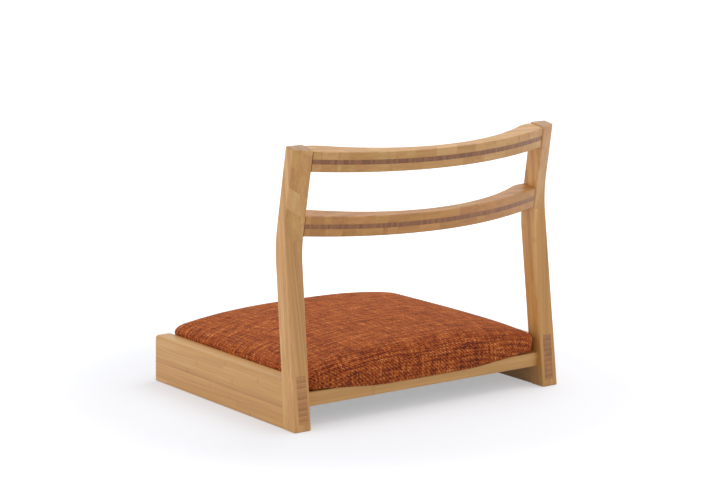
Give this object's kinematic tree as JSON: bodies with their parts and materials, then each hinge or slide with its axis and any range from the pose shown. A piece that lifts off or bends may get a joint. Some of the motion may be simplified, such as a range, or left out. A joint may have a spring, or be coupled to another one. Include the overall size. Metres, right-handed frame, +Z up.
{
  "type": "floor chair",
  "caption": "Legless floor chair: side boards on edge, bent back posts on through tenons, curved three-layer back rails and a crowned upholstered drop-in seat pad.",
  "frame": {"origin": "centre of the whole chair's footprint, on the floor", "axes": "+X to the sitter's left, -Y towards the front of the seat, +Z up from the floor"},
  "size_m": [0.48, 0.4144, 0.3998],
  "materials": {
    "bamboo_posts": "satin clear lacquer, long fine strips",
    "bamboo_boards": "satin clear lacquer, long fine strips",
    "bamboo_rail_layers": "satin clear lacquer, edge-glued strips that follow the curve",
    "bamboo_rail_core": "satin clear lacquer over dark end grain",
    "bamboo_seat_frame": "satin clear lacquer",
    "beech_dowels": "plain, glued in",
    "zinc_screws": "bright zinc",
    "rust_tweed": "slubby mixed weave of rust, maroon, orange and tan yarns",
    "plywood": "unfinished",
    "pad_foam": "open-cell polyurethane foam",
    "dust_cloth": "black non-woven",
    "steel_staples": "galvanised wire"
  },
  "bodies": {
    "root": {"left_back_post": "bamboo_posts", "right_back_post": "bamboo_posts", "left_side_board": "bamboo_boards", "right_side_board": "bamboo_boards", "top_rail_upper_layer": "bamboo_rail_layers", "top_rail_core": "bamboo_rail_core", "top_rail_lower_layer": "bamboo_rail_layers", "top_rail_dowels": "beech_dowels", "lower_rail_upper_layer": "bamboo_rail_layers", "lower_rail_core": "bamboo_rail_core", "lower_rail_lower_layer": "bamboo_rail_layers", "lower_rail_dowels": "beech_dowels", "rear_seat_rail": "bamboo_seat_frame", "front_seat_rail": "bamboo_seat_frame", "rear_rail_dowels": "beech_dowels", "front_rail_dowels": "beech_dowels", "middle_seat_batten": "bamboo_seat_frame", "batten_dowels": "beech_dowels", "left_seat_cleat": "bamboo_seat_frame", "right_seat_cleat": "bamboo_seat_frame", "cleat_screws": "zinc_screws", "pad_screws": "zinc_screws", "seat_cover": "rust_tweed", "seat_panel": "plywood", "seat_foam": "pad_foam", "seat_underlining": "dust_cloth", "cover_staples": "steel_staples"}
  },
  "joints": []
}
